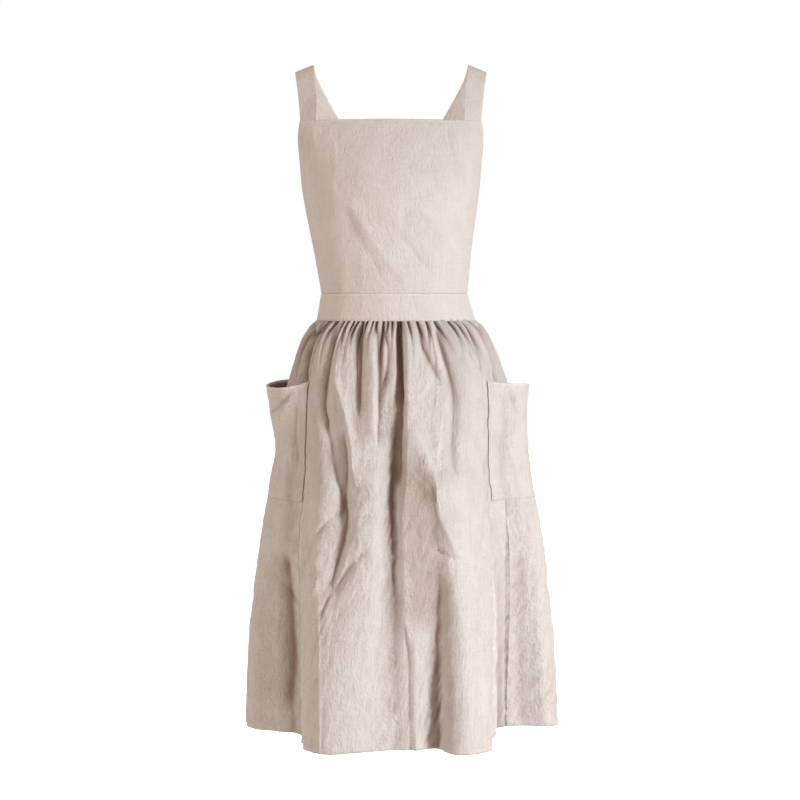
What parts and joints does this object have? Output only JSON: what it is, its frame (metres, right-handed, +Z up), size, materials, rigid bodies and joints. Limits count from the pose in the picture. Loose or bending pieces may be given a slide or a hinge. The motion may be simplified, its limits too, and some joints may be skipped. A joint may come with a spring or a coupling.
{
  "type": "cross back apron",
  "caption": "Cross back pinafore apron of plain linen: bib on wide straps that cross behind, waistband, gathered skirt open at the back, patch pockets at the sides.",
  "frame": {"origin": "midway between the two straps where they pass over the shoulders, level with their top", "axes": "+Z up, the front of the apron faces -Y, +X to the right as seen from the front"},
  "size_m": [0.5019, 0.331, 1.0683],
  "materials": {
    "linen_bib": "matt washed linen, pale pinkish beige",
    "linen_band": "matt washed linen, pale pinkish beige",
    "linen_skirt": "matt washed linen, pale pinkish beige",
    "linen_pocket": "matt washed linen, pale pinkish beige",
    "linen_strap": "matt washed linen, pale pinkish beige"
  },
  "bodies": {
    "root": {"bib": "linen_bib", "waistband": "linen_band", "skirt_left": "linen_skirt", "skirt_front": "linen_skirt", "skirt_right": "linen_skirt", "pocket_left": "linen_pocket", "pocket_right": "linen_pocket", "strap_left": "linen_strap", "strap_right": "linen_strap"}
  },
  "joints": []
}
